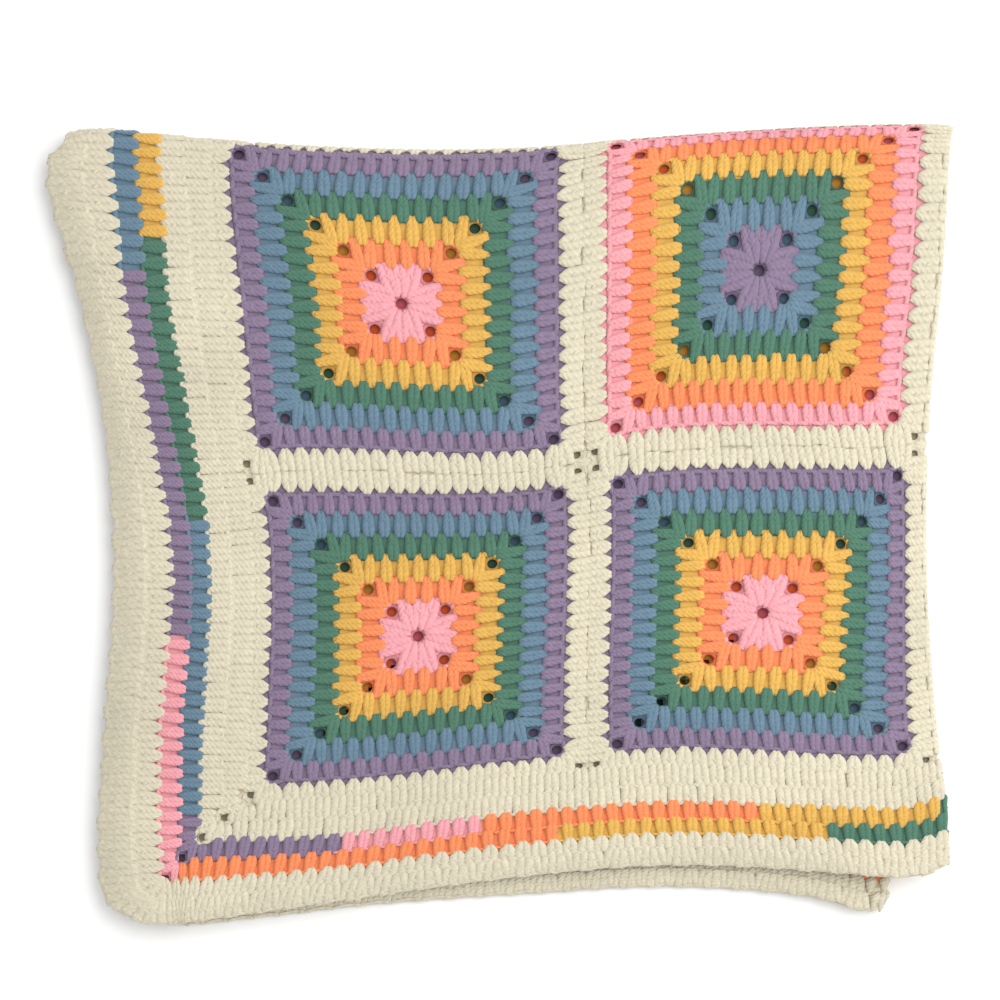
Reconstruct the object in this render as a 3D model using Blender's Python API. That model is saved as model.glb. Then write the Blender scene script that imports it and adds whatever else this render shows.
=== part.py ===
# A crochet blanket of granny squares, folded in half from the side and then from the top.
# It is one cloth: a flat pattern, cut through at the larger gaps, is folded into four layers.
import math

import bpy
import numpy as np
from mathutils import Vector
from mathutils.geometry import delaunay_2d_cdt

# Sizes of the flat blanket, in millimetres
clothThickness = 3.5
ringRadius = 4.7  # starting ring of a square, out to its first round
roundWidth = 11.5  # one round of treble stitches
squareRounds = 7
seamWidth = 1.6
squaresAcross = 4
borderRounds = 6
cornerRadius = 24.0

squarePitch = 2 * (ringRadius + squareRounds * roundWidth) + seamWidth
blanketHalf = squaresAcross / 2 * squarePitch + borderRounds * roundWidth

# Gaps that are cut through: the ring, and the corner spaces of four rounds
gapSide = 4.6
gapRounds = (2, 3, 4, 5)
gapFromRoundEdge = 3.0  # from a corner space's middle out to the edge of its round

# Folds: p runs to the right and q away across the flat blanket, both from its middle
sideFoldAt = 4.0  # the right-hand fold lies a little past the middle seam
topFoldAt = -6.0  # and the far fold a little before it, so the under layers reach further forward
sideFoldRadius = 2.6
topFoldRadius = 5.2
sideArc = sideFoldRadius * math.pi / 2
topArc = topFoldRadius * math.pi / 2
stackHeight = 2 * (topFoldRadius + sideFoldRadius) + clothThickness

# How far each layer's free edges are drawn in from the top layer's, in millimetres,
# and the share of its height over the bottom layer by which each edge sinks
layers = {
    "top": {"sideIn": 0, "frontIn": 0, "sideSink": 0.58, "frontSink": 0.32},
    "second": {"sideIn": 14, "frontIn": 20, "sideSink": 0, "frontSink": 0},
    "third": {"sideIn": 14, "frontIn": -6.5, "sideSink": 0, "frontSink": 0.75},
    "bottom": {"sideIn": 12, "frontIn": 10, "sideSink": 0, "frontSink": 0},
}
sinkWidth = 24.0
sinkFreeOfFold = 15.0
underFrontTurn = 14.0  # extra draw-in of the lower pair's front at its left end
underFrontEnd = 6.0  # and a little more over its last third
underSideIn = 32.0  # draw-in of the lower pair's right fold at its front end
underCornerOut = 15.0  # the lower pair's right front corner pokes out again by this much
underCornerWidth = 24.0
blendWidth = 70.0  # over which one layer's edge passes into the next at a fold
foldEndIn = 6.0  # the ends of the folds round off by this much
foldEndWidth = 10.0
foldEndPower = 12  # keeps that rounding to the very edge

# Where the folded cloth lies, seen from above. A row follows one line of the pattern:
# its distance from the far fold, then x and y at each of the columns below.
planColumns = {"left edge": -413, "outer stripe": -390, "inner stripe": -367, "left corner spaces": -317,
               "left of the seam": -199, "right of the seam": -145, "right corner spaces": -27,
               "right fold": 4}
planRows = {
    "far fold": (9, (-232, -207, -182, -123, 12, 71, 199, 232),
                 (191, 193, 191, 185, 182, 187, 194.5, 194.5)),
    "far corner spaces": (-13, (-232, -200, -175, -121, 12, 71, 197, 230),
                          (173, 170, 168, 164, 163, 176, 184, 184)),
    "far squares": (-72, (-212, -190, -168, -113, 13, 70, 191, 224),
                    (103, 101, 101, 100, 99, 110, 116, 117)),
    "beyond the seam": (-131, (-198, -176, -156, -107, 14, 69, 184, 216),
                        (38, 36, 36, 38, 36, 46, 50, 51)),
    "before the seam": (-185, (-192, -165, -146, -100, 18, 70, 188, 212),
                        (-18, -18, -18, -16, -14, -6, -4, -4)),
    "near corner spaces": (-303, (-194, -167, -147, -99, 16, 68, 184, 214),
                           (-130, -131, -132, -132, -121, -116, -119, -119)),
    "front stripe": (-353, (-195, -166, -147, -101, 17, 70, 187, 218),
                     (-175, -176, -175, -174, -161, -157, -160, -160)),
    "front edge": (-399, (-191, -161, -151, -108, 17, 71, 188, 218),
                   (-216, -214, -213, -207, -190, -185.5, -192, -195.8)),
}

# Soft waves in the stack: height, distance between crests along x and y, and shift
waves = (
    {"height": 0.8, "alongX": 310, "alongY": 900, "shift": 0.6},
    {"height": 0.6, "alongX": -700, "alongY": 260, "shift": 2.1},
)

# Spacing of the mesh
gridStep = 28.5
clearOfGap = 8.0
clearOfEdge = 9.0
fromFold = (6.0, 14.0)
fromEdge = 12.5
sideFoldSteps = 4
topFoldSteps = 6
cornerSteps = 5
samePlace = 1e-6


def ease(t):
    t = np.clip(t, 0, 1)
    return t * t * (3 - 2 * t)


def pick(table, row):
    # one value from each column of the table
    return np.take_along_axis(table, row[None, :], axis=0)[0]


def throughStations(stations, values, at):
    # cubic curve through the values of each column, straight past its ends
    stations = np.asarray(stations, float)
    slopes = np.gradient(values, stations, axis=0)
    low = np.clip(np.searchsorted(stations, at) - 1, 0, len(stations) - 2)
    span = stations[low + 1] - stations[low]
    free = (at - stations[low]) / span
    t = np.clip(free, 0, 1)
    start, end = pick(values, low), pick(values, low + 1)
    startSlope, endSlope = pick(slopes, low) * span, pick(slopes, low + 1) * span
    curve = (start * (1 + 2 * t) * (1 - t) ** 2 + end * t * t * (3 - 2 * t)
             + startSlope * t * (1 - t) ** 2 - endSlope * t * t * (1 - t))
    return curve + np.where(free > t, endSlope, startSlope) * (free - t)


def lieInPlan(across, along):
    # carries the squarely folded cloth to the uneven outline it lies in
    columns = list(planColumns.values())
    rows = sorted(planRows.values())
    stations = [row[0] for row in rows]
    placed = []
    for axis in (1, 2):
        lines = []
        for row in rows:
            table = np.repeat(np.array(row[axis], float)[:, None], len(across), axis=1)
            lines.append(throughStations(columns, table, across))
        placed.append(throughStations(stations, np.array(lines), along))
    return placed


def foldOver(distance, offset, radius):
    # a U: straight runs a radius above and below the middle, joined by a half circle at distance 0
    arc = radius * math.pi / 2
    turn = np.clip(distance / radius, -math.pi / 2, math.pi / 2)
    straight = np.maximum(np.abs(distance) - arc, 0)
    return (radius + offset) * np.cos(turn) - straight, -(radius + offset) * np.sin(turn)


def layerValue(name, p, q):
    # top and second layers meet at the side fold, top and bottom ones at the far fold
    under = ease(0.5 + (p - sideFoldAt) / blendWidth)
    low = ease(0.5 + (q - topFoldAt) / blendWidth)
    value = {layer: sizes[name] for layer, sizes in layers.items()}
    upper = value["top"] * (1 - under) + value["second"] * under
    lower = value["bottom"] * (1 - under) + value["third"] * under
    return upper * (1 - low) + lower * low


def foldedPoint(p, q, offset):
    # a point of the flat blanket, and its offset towards the right side, in the folded stack
    across, pairHeight = foldOver(p - sideFoldAt, offset, sideFoldRadius)
    along, height = foldOver(q - topFoldAt, pairHeight, topFoldRadius)
    left = np.clip(-across / blanketHalf, 0, 1)
    front = np.clip(-along / blanketHalf, 0, 1)
    low = ease((q - topFoldAt) / (2 * topArc))

    # free edges and fold ends draw in, and the lower pair narrows towards its front
    sideEnd = foldEndIn * np.exp(-((q - topFoldAt) / foldEndWidth) ** 2) * left ** foldEndPower
    frontEnd = foldEndIn * np.exp(-((p - sideFoldAt) / foldEndWidth) ** 2) * front ** foldEndPower
    underSide = underSideIn * front ** 2 * (1 - left)
    underCorner = underCornerOut * np.exp(-((p - sideFoldAt) / underCornerWidth) ** 2)
    underFront = underFrontTurn * left + underFrontEnd * ease((left - 0.4) / 0.3) - underCorner
    across = across + layerValue("sideIn", p, q) * left ** 2 + sideEnd - low * underSide
    along = along + (layerValue("frontIn", p, q) + low * underFront) * front ** 2 + frontEnd
    x, y = lieInPlan(across, along)

    # free edges sink towards what lies below them, and the whole stack ripples
    middleOfPair = foldOver(p - sideFoldAt, 0, sideFoldRadius)[1]
    overBottom = foldOver(q - topFoldAt, middleOfPair, topFoldRadius)[1] + topFoldRadius + sideFoldRadius
    nearSide = np.clip(1 - (blanketHalf - np.abs(p)) / sinkWidth, 0, 1) ** 3
    nearFront = np.clip(1 - (blanketHalf - np.abs(q)) / sinkWidth, 0, 1) ** 3
    besideFold = ease((np.abs(p - sideFoldAt) - sinkFreeOfFold) / blendWidth)
    sink = layerValue("sideSink", p, q) * nearSide + layerValue("frontSink", p, q) * besideFold * nearFront
    z = height + stackHeight / 2 - sink * overBottom
    ripple = 0
    for wave in waves:
        turns = x / wave["alongX"] + y / wave["alongY"]
        ripple = ripple + wave["height"] * np.sin(2 * math.pi * turns + wave["shift"])
    return np.stack([x, y, z + ripple * z / stackHeight], axis=1)


def squareCentres():
    steps = (np.arange(squaresAcross) - (squaresAcross - 1) / 2) * squarePitch
    return [(p, q) for q in steps for p in steps]


def gapCentres():
    centres = []
    for p, q in squareCentres():
        centres.append((p, q))
        for number in gapRounds:
            reach = ringRadius + number * roundWidth - gapFromRoundEdge
            centres += [(p + reach * sideways, q + reach * away) for sideways in (-1, 1) for away in (-1, 1)]
    return centres


def gridLine(foldAt, arc, steps):
    # even spacing, with closer lines round the fold and beside the edge
    count = round(2 * blanketHalf / gridStep)
    even = np.linspace(-blanketHalf, blanketHalf, count + 1)
    beside = arc + np.array(fromFold)
    fold = foldAt + np.concatenate([-beside, np.linspace(-arc, arc, steps + 1), beside])
    even = even[np.abs(even - foldAt) > beside.max() + gridStep / 3]
    return np.sort(np.concatenate([even, fold, (fromEdge - blanketHalf, blanketHalf - fromEdge)]))


def outline(columns, rows):
    # the blanket's edge, anticlockwise from the front left, with its corners rounded
    inner = blanketHalf - cornerRadius
    points = []
    for turn, (right, away) in enumerate(((1, -1), (1, 1), (-1, 1), (-1, -1))):
        line = [value for value in (columns, rows)[turn % 2] if abs(value) < inner - clearOfEdge]
        if turn < 2:
            side = blanketHalf * (-1, 1)[turn]
        else:
            side = blanketHalf * (1, -1)[turn - 2]
            line.reverse()
        points += [(side, value) if turn % 2 else (value, side) for value in line]
        for step in range(cornerSteps + 1):
            angle = math.pi / 2 * (turn - 1 + step / cornerSteps)
            points.append((right * inner + cornerRadius * math.cos(angle),
                           away * inner + cornerRadius * math.sin(angle)))
    return points


def insideEdge(p, q):
    inner = blanketHalf - cornerRadius
    if abs(p) > inner and abs(q) > inner:
        return math.hypot(abs(p) - inner, abs(q) - inner) < cornerRadius - clearOfEdge
    return max(abs(p), abs(q)) < blanketHalf - clearOfEdge


def flatPattern():
    # triangles of the flat blanket, with its edge, its gaps and its fold lines kept as edges
    columns = gridLine(sideFoldAt, sideArc, sideFoldSteps)
    rows = gridLine(topFoldAt, topArc, topFoldSteps)
    points = outline(columns, rows)
    firstGap = len(points)
    loops = [list(range(firstGap))]
    gaps = np.array(gapCentres())
    half = gapSide / 2
    for p, q in gaps:
        loops.append(list(range(len(points), len(points) + 4)))
        points += [(p - half, q - half), (p + half, q - half), (p + half, q + half), (p - half, q + half)]
    for p in columns:
        for q in rows:
            fromGap = np.abs(gaps - (p, q)).max(axis=1).min()
            if fromGap > clearOfGap and insideEdge(p, q):
                points.append((p, q))

    edges = [(loop[i - 1], loop[i]) for loop in loops for i in range(len(loop))]
    folds = [(0, sideFoldAt + step) for step in np.linspace(-sideArc, sideArc, sideFoldSteps + 1)]
    folds += [(1, topFoldAt + step) for step in np.linspace(-topArc, topArc, topFoldSteps + 1)]
    for axis, line in folds:
        onLine = [i for i, point in enumerate(points) if abs(point[axis] - line) < samePlace]
        onLine.sort(key=lambda i: points[i][1 - axis])
        edges += list(zip(onLine, onLine[1:]))

    corners = [Vector(point) for point in points]
    faces = delaunay_2d_cdt(corners, edges, [], 0, samePlace)[2]
    gapOf = np.full(len(points), -1)
    gapOf[firstGap:firstGap + 4 * len(gaps)] = np.repeat(np.arange(len(gaps)), 4)
    kept = [face for face in faces if gapOf[face[0]] < 0 or len({gapOf[i] for i in face}) > 1]
    return np.array(points), kept


def clothMesh():
    flat, faces = flatPattern()
    rightSide = foldedPoint(flat[:, 0], flat[:, 1], clothThickness / 2)
    wrongSide = foldedPoint(flat[:, 0], flat[:, 1], -clothThickness / 2)
    points = np.concatenate([rightSide, wrongSide])
    lowest, highest = points.min(axis=0), points.max(axis=0)
    points -= ((lowest[0] + highest[0]) / 2, (lowest[1] + highest[1]) / 2, lowest[2])
    count = len(flat)
    sides = {(face[i - 1], face[i]) for face in faces for i in range(3)}
    walls = [(b, a, a + count, b + count) for a, b in sides if (b, a) not in sides]
    under = [tuple(i + count for i in reversed(face)) for face in faces]
    mesh = bpy.data.meshes.new("blanket")
    mesh.from_pydata((points / 1000).tolist(), [], [tuple(face) for face in faces] + under + walls)
    mesh.validate()
    return mesh


def yarnMaterial():
    material = bpy.data.materials.new("cream acrylic yarn")
    material.use_nodes = True
    shader = material.node_tree.nodes["Principled BSDF"]
    shader.inputs["Base Color"].default_value = (0.78, 0.70, 0.52, 1)
    shader.inputs["Roughness"].default_value = 0.9
    shader.inputs["Metallic"].default_value = 0
    return material


def makeBlanket():
    mesh = clothMesh()
    mesh.materials.append(yarnMaterial())
    blanket = bpy.data.objects.new("blanket", mesh)
    bpy.context.scene.collection.objects.link(blanket)
    mesh.shade_smooth()
    mesh.set_sharp_from_angle(angle=math.radians(40))
    return blanket


for leftover in list(bpy.data.objects):
    bpy.data.objects.remove(leftover)
makeBlanket()
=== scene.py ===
# Dresses the folded granny square blanket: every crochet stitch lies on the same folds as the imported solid.
import math
import bpy
import numpy as np
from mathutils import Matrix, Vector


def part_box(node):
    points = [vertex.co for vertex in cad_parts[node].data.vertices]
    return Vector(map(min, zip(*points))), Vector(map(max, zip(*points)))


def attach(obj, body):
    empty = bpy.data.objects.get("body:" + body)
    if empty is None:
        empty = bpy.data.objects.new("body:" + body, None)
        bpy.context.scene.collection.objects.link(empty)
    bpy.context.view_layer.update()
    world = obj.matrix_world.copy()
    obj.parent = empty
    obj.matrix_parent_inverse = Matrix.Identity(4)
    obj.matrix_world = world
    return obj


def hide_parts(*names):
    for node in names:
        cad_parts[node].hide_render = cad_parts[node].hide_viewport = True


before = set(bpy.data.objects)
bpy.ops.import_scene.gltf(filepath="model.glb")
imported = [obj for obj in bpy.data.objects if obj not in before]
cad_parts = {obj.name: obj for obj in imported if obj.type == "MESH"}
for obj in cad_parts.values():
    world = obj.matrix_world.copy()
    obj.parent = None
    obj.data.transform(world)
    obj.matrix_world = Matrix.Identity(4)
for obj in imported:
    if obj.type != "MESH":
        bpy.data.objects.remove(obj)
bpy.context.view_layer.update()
print("frame loaded")

mm = 0.001
pi = math.pi
seed = 7  # of the small unevenness of hand work
rng = np.random.default_rng(seed)

# The open cloth, in mm. p runs to the right and q away from the viewer, both from the blanket's middle.
cloth = {
    "ringRadius": 4.7,  # the ring each square starts from
    "roundWidth": 11.5,  # one round of treble stitches
    "squareRounds": 7,
    "seamWidth": 1.6,
    "squaresAcross": 4,
    "borderRounds": 6,
    "squareCornered": 4,  # the border rounds up to this one have square corners
    "cornerRadius": 24.0,
    "leastRadius": 0.5,  # of the innermost turn of a rounded round
    "thickness": 3.5,
    "holeBack": 3.0,  # a corner space lies this far inside its round's outer edge
    "lastHoleBack": 4.0,  # and in the cream round of a square
    "gripOut": 3.2,  # in a square the next round grips this much further out
}
roundWidth, squareRounds = cloth["roundWidth"], cloth["squareRounds"]
squareHalf = cloth["ringRadius"] + squareRounds * roundWidth
squarePitch = 2 * squareHalf + cloth["seamWidth"]
bordersFrom = cloth["squaresAcross"] / 2 * squarePitch
blanketHalf = bordersFrom + cloth["borderRounds"] * roundWidth
halfThick = cloth["thickness"] / 2

# How it is folded and how it lies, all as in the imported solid.
fold = {
    "sideAt": 4.0, "topAt": -6.0, "sideRadius": 2.6, "topRadius": 5.2,
    "sinkWidth": 24.0, "sinkFreeOfFold": 15.0, "blendWidth": 70.0,
    "underFrontTurn": 14.0, "underFrontEnd": 6.0,  # how far the lower pair's front draws in towards the left
    "underEndFrom": 0.4, "underEndOver": 0.3,  # the part of the front over which it draws in the second time
    "underSideIn": 32.0, "underCornerOut": 15.0, "underCornerWidth": 24.0,
    "endIn": 6.0, "endWidth": 10.0, "endPower": 12,
}
topArc = fold["topRadius"] * pi / 2
stackHeight = 2 * (fold["topRadius"] + fold["sideRadius"]) + cloth["thickness"]
layers = {
    "top": {"sideIn": 0, "frontIn": 0, "sideSink": 0.58, "frontSink": 0.32},
    "second": {"sideIn": 14, "frontIn": 20, "sideSink": 0, "frontSink": 0},
    "third": {"sideIn": 14, "frontIn": -6.5, "sideSink": 0, "frontSink": 0.75},
    "bottom": {"sideIn": 12, "frontIn": 10, "sideSink": 0, "frontSink": 0},
}
# Where eight lines of the pattern lie: the distance from the far fold, then x and y at each of the columns.
planColumns = {"left edge": -413, "outer stripe": -390, "inner stripe": -367, "left corner spaces": -317,
               "left of the seam": -199, "right of the seam": -145, "right corner spaces": -27,
               "right fold": 4}
planRows = {
    "far fold": (9, (-232, -207, -182, -123, 12, 71, 199, 232),
                 (191, 193, 191, 185, 182, 187, 194.5, 194.5)),
    "far corner spaces": (-13, (-232, -200, -175, -121, 12, 71, 197, 230),
                          (173, 170, 168, 164, 163, 176, 184, 184)),
    "far squares": (-72, (-212, -190, -168, -113, 13, 70, 191, 224),
                    (103, 101, 101, 100, 99, 110, 116, 117)),
    "beyond the seam": (-131, (-198, -176, -156, -107, 14, 69, 184, 216),
                        (38, 36, 36, 38, 36, 46, 50, 51)),
    "before the seam": (-185, (-192, -165, -146, -100, 18, 70, 188, 212),
                        (-18, -18, -18, -16, -14, -6, -4, -4)),
    "near corner spaces": (-303, (-194, -167, -147, -99, 16, 68, 184, 214),
                           (-130, -131, -132, -132, -121, -116, -119, -119)),
    "front stripe": (-353, (-195, -166, -147, -101, 17, 70, 187, 218),
                     (-175, -176, -175, -174, -161, -157, -160, -160)),
    "front edge": (-399, (-191, -161, -151, -108, 17, 71, 188, 218),
                   (-216, -214, -213, -207, -190, -185.5, -192, -195.8)),
}
planSamples = 240  # points a side that the folded cloth's box is taken from
waves = ({"height": 0.8, "alongX": 310, "alongY": 900, "shift": 0.6},
         {"height": 0.6, "alongX": -700, "alongY": 260, "shift": 2.1})


# A soft step: three t squared less two t cubed, with t held between 0 and 1.
def ease(t):
    t = np.clip(t, 0, 1)
    return t * t * (3 - 2 * t)


# One value from each column of a table, each from its own row.
def pick(table, row):
    return np.take_along_axis(table, row[None, :], axis=0)[0]


# A curve through the values at the stations: a cubic between each two, straight past the ends.
def throughStations(stations, values, at):
    stations = np.asarray(stations, float)
    slopes = np.gradient(values, stations, axis=0)
    low = np.clip(np.searchsorted(stations, at) - 1, 0, len(stations) - 2)
    span = stations[low + 1] - stations[low]
    free = (at - stations[low]) / span
    t = np.clip(free, 0, 1)
    start, end = pick(values, low), pick(values, low + 1)
    startSlope, endSlope = pick(slopes, low) * span, pick(slopes, low + 1) * span
    curve = (start * (1 + 2 * t) * (1 - t) ** 2 + end * t * t * (3 - 2 * t)
             + startSlope * t * (1 - t) ** 2 - endSlope * t * t * (1 - t))
    return curve + np.where(free > t, endSlope, startSlope) * (free - t)


# The place on the table of a point of the folded cloth: along each plan row first, then between the rows.
def lieInPlan(across, along):
    columns = list(planColumns.values())
    rows = sorted(planRows.values(), key=lambda row: row[0])
    stations = [row[0] for row in rows]
    place = []
    for axis in (1, 2):
        tables = [np.repeat(np.array(row[axis], float)[:, None], len(across), 1) for row in rows]
        lines = [throughStations(columns, table, across) for table in tables]
        place.append(throughStations(stations, np.array(lines), along))
    return place


# Round a fold: a half turn of the radius, then straight on. Gives the place across it and the height.
def foldOver(distance, offset, radius):
    arc = radius * pi / 2
    turn = np.clip(distance / radius, -pi / 2, pi / 2)
    straight = np.maximum(np.abs(distance) - arc, 0)
    return (radius + offset) * np.cos(turn) - straight, -(radius + offset) * np.sin(turn)


# A layer's own measure, passing softly into the next layer's at each fold.
def layerValue(name, p, q):
    under = ease(0.5 + (p - fold["sideAt"]) / fold["blendWidth"])
    low = ease(0.5 + (q - fold["topAt"]) / fold["blendWidth"])
    value = {layer: sizes[name] for layer, sizes in layers.items()}
    upper = value["top"] * (1 - under) + value["second"] * under
    lower = value["bottom"] * (1 - under) + value["third"] * under
    return upper * (1 - low) + lower * low


# A point of the open cloth, folded: round the side fold, then with its pair of layers round the top fold,
# then drawn in and sunk at the edges and laid in plan. offset is its height on the right side, in mm.
def foldedPoint(p, q, offset):
    pastSide, pastTop = p - fold["sideAt"], q - fold["topAt"]
    across, pairHeight = foldOver(pastSide, offset, fold["sideRadius"])
    along, height = foldOver(pastTop, pairHeight, fold["topRadius"])
    left = np.clip(-across / blanketHalf, 0, 1)
    front = np.clip(-along / blanketHalf, 0, 1)
    low = ease(pastTop / (2 * topArc))
    sideEnd = fold["endIn"] * np.exp(-(pastTop / fold["endWidth"]) ** 2) * left ** fold["endPower"]
    frontEnd = fold["endIn"] * np.exp(-(pastSide / fold["endWidth"]) ** 2) * front ** fold["endPower"]
    underSide = fold["underSideIn"] * front ** 2 * (1 - left)
    underCorner = fold["underCornerOut"] * np.exp(-(pastSide / fold["underCornerWidth"]) ** 2)
    underEnd = fold["underFrontEnd"] * ease((left - fold["underEndFrom"]) / fold["underEndOver"])
    underFront = fold["underFrontTurn"] * left + underEnd - underCorner
    across = across + layerValue("sideIn", p, q) * left ** 2 + sideEnd - low * underSide
    along = along + (layerValue("frontIn", p, q) + low * underFront) * front ** 2 + frontEnd
    x, y = lieInPlan(across, along)
    middleOfPair = foldOver(pastSide, 0, fold["sideRadius"])[1]
    overBottom = foldOver(pastTop, middleOfPair, fold["topRadius"])[1]
    overBottom = overBottom + fold["topRadius"] + fold["sideRadius"]
    nearSide = np.clip(1 - (blanketHalf - np.abs(p)) / fold["sinkWidth"], 0, 1) ** 3
    nearFront = np.clip(1 - (blanketHalf - np.abs(q)) / fold["sinkWidth"], 0, 1) ** 3
    besideFold = ease((np.abs(pastSide) - fold["sinkFreeOfFold"]) / fold["blendWidth"])
    sink = (layerValue("sideSink", p, q) * nearSide
            + layerValue("frontSink", p, q) * besideFold * nearFront)
    z = height + stackHeight / 2 - sink * overBottom
    ripple = sum(wave["height"] * np.sin(2 * pi * (x / wave["alongX"] + y / wave["alongY"]) + wave["shift"])
                 for wave in waves)
    return np.stack([x, y, z + ripple * z / stackHeight], axis=1)


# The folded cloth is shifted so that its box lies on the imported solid's box.
def planShift():
    line = np.linspace(-blanketHalf, blanketHalf, planSamples)
    p, q = (grid.ravel() for grid in np.meshgrid(line, line))
    reach = blanketHalf - cloth["cornerRadius"]
    inCorner = np.hypot(np.maximum(np.abs(p) - reach, 0), np.maximum(np.abs(q) - reach, 0))
    p, q = p[inCorner <= cloth["cornerRadius"]], q[inCorner <= cloth["cornerRadius"]]
    both = np.concatenate([foldedPoint(p, q, halfThick), foldedPoint(p, q, -halfThick)])
    low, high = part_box("blanket")
    middle = (both.min(0) + both.max(0)) / 2
    wanted = [(low[axis] + high[axis]) / 2 / mm for axis in (0, 1)]
    return np.array([wanted[0] - middle[0], wanted[1] - middle[1], 0])


shift = planShift()
print("cloth lies at", shift.round(2))


# Points of the open cloth, in mm, carried to the folded stack, in metres.
def laidOut(points):
    points = np.asarray(points, float).reshape(-1, 3)
    return (foldedPoint(points[:, 0], points[:, 1], points[:, 2]) + shift) * mm


# Yarn colours, as sRGB hex.
yarnColours = {
    "cream": "#d2cab2", "purple": "#85738d", "blue": "#637f92", "green": "#497561",
    "yellow": "#d9aa50", "orange": "#ef8a57", "pink": "#ea9fa7",
}
colourNames = list(yarnColours)
tintOf = {name: index for index, name in enumerate(colourNames)}  # a colour's number in lists of places


# An sRGB hex colour as linear red, green and blue, and 1.
def linear(hexCode):
    parts = [int(hexCode[i:i + 2], 16) / 255 for i in (1, 3, 5)]
    return [c / 12.92 if c <= 0.04045 else ((c + 0.055) / 1.055) ** 2.4 for c in parts] + [1]


# Adds a node with its settings and links, by the names or numbers of its inputs.
def addNode(tree, kind, settings={}, links={}):
    node = tree.nodes.new(kind)
    for name, value in settings.items():
        if isinstance(name, int) or name in node.inputs:
            node.inputs[name].default_value = value
        else:
            setattr(node, name, value)
    for name, source in links.items():
        tree.links.new(source, node.inputs[name])
    return node


# Acrylic yarn, spun and plied. What the eye sees: the plies twisted round each other, a matt fuzz of fibres
# that catches the light, and a colour a little uneven along the thread and from place to place. The fuzz is
# drawn at 0.5 mm, coarser than real fibres, so that it shows.
yarnLook = {
    "plies": 4,
    "plyTurn": 11.0,  # mm along the strand for one whole turn of the plies
    "plyDepth": 0.11, "fibreDepth": 0.12,  # mm
    # size in mm, then the lowest and highest value
    "flecks": (3.0, 0.93, 1.06),
    "patches": (60.0, 0.95, 1.04),
    "roughness": (0.5, 0.78, 0.95),
    "noiseDetail": 2, "noiseLow": 0.3, "noiseHigh": 0.7,  # the noise hardly passes these two
    "sheen": 0.15, "sheenRoughness": 0.5,
}


# Colour = the yarn's own x flecks x patches. The surface rises with the fibres and, on a strand, the plies.
def yarnMaterial(name, colour, isStrand=False):
    material = bpy.data.materials.new(name)
    material.use_nodes = True
    tree = material.node_tree
    shader = tree.nodes["Principled BSDF"]
    shader.inputs["Sheen Weight"].default_value = yarnLook["sheen"]
    shader.inputs["Sheen Roughness"].default_value = yarnLook["sheenRoughness"]
    place = addNode(tree, "ShaderNodeTexCoord").outputs["Object"]
    noises, values = {}, {}
    for part in ("flecks", "patches", "roughness"):
        size, low, high = yarnLook[part]
        noises[part] = addNode(tree, "ShaderNodeTexNoise",
                               {"Scale": 1 / (size * mm), "Detail": yarnLook["noiseDetail"]},
                               {"Vector": place}).outputs["Fac"]
        values[part] = addNode(tree, "ShaderNodeMapRange",
                               {"From Min": yarnLook["noiseLow"], "From Max": yarnLook["noiseHigh"],
                                "To Min": low, "To Max": high},
                               {"Value": noises[part]}).outputs["Result"]
    tone = addNode(tree, "ShaderNodeMath", {"operation": "MULTIPLY"},
                   {0: values["flecks"], 1: values["patches"]})
    tinted = addNode(tree, "ShaderNodeVectorMath", {"operation": "SCALE", 0: colour[:3]},
                     {"Scale": tone.outputs["Value"]})
    tree.links.new(tinted.outputs["Vector"], shader.inputs["Base Color"])
    tree.links.new(values["roughness"], shader.inputs["Roughness"])
    bump = addNode(tree, "ShaderNodeBump", {"Strength": 1.0, "Distance": yarnLook["fibreDepth"] * mm},
                   {"Height": noises["roughness"]})
    if isStrand:  # the plies' height: a sine of the turn round the strand plus the turn along it
        uv = addNode(tree, "ShaderNodeUVMap", {"uv_map": "strand"}).outputs["UV"]
        parts = addNode(tree, "ShaderNodeSeparateXYZ", links={"Vector": uv}).outputs
        turn = 2 * pi * yarnLook["plies"]
        along = addNode(tree, "ShaderNodeMath", {"operation": "MULTIPLY", 1: 1 / yarnLook["plyTurn"]},
                        {0: parts["Y"]})
        both = addNode(tree, "ShaderNodeMath", {"operation": "ADD"},
                       {0: parts["X"], 1: along.outputs["Value"]})
        angle = addNode(tree, "ShaderNodeMath", {"operation": "MULTIPLY", 1: turn},
                        {0: both.outputs["Value"]})
        wave = addNode(tree, "ShaderNodeMath", {"operation": "SINE"}, {0: angle.outputs["Value"]})
        bump = addNode(tree, "ShaderNodeBump", {"Strength": 1.0, "Distance": yarnLook["plyDepth"] * mm},
                       {"Height": wave.outputs["Value"], "Normal": bump.outputs["Normal"]})
    tree.links.new(bump.outputs["Normal"], shader.inputs["Normal"])
    return material


# Painted shade: the same yarn made darker to stand for less light, by the share it gives back and how often
# light has met it. Cream lets light through, and the warm colours are painted deeper inside.
shades = {
    "between the posts": {"share": 0.9, "creamShare": 0.97, "bounces": 1.0},
    "round the spaces": {"share": 0.7, "creamShare": 0.85, "bounces": 1.2},
    "under the first loops": {"creamShare": 0.7, "bounces": 1.1},
    "inside the stack": {"share": 0.85, "creamShare": 1.0, "bounces": 1.3,
                         "pink": 2.0, "orange": 1.6, "yellow": 1.5},
}


# A deeper painted shade: each channel to the power of the bounces, times the share, so its colour grows
# stronger too.
def yarnsIn(place, names=colourNames):
    light = shades[place]
    made = {}
    for name in names:
        bounces = light.get(name, light["bounces"])
        share = light["creamShare" if name == "cream" else "share"]
        colour = [channel ** bounces * share for channel in linear(yarnColours[name])[:3]]
        made[name] = yarnMaterial("acrylic yarn " + place + ", " + name, colour)
    return made


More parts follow.
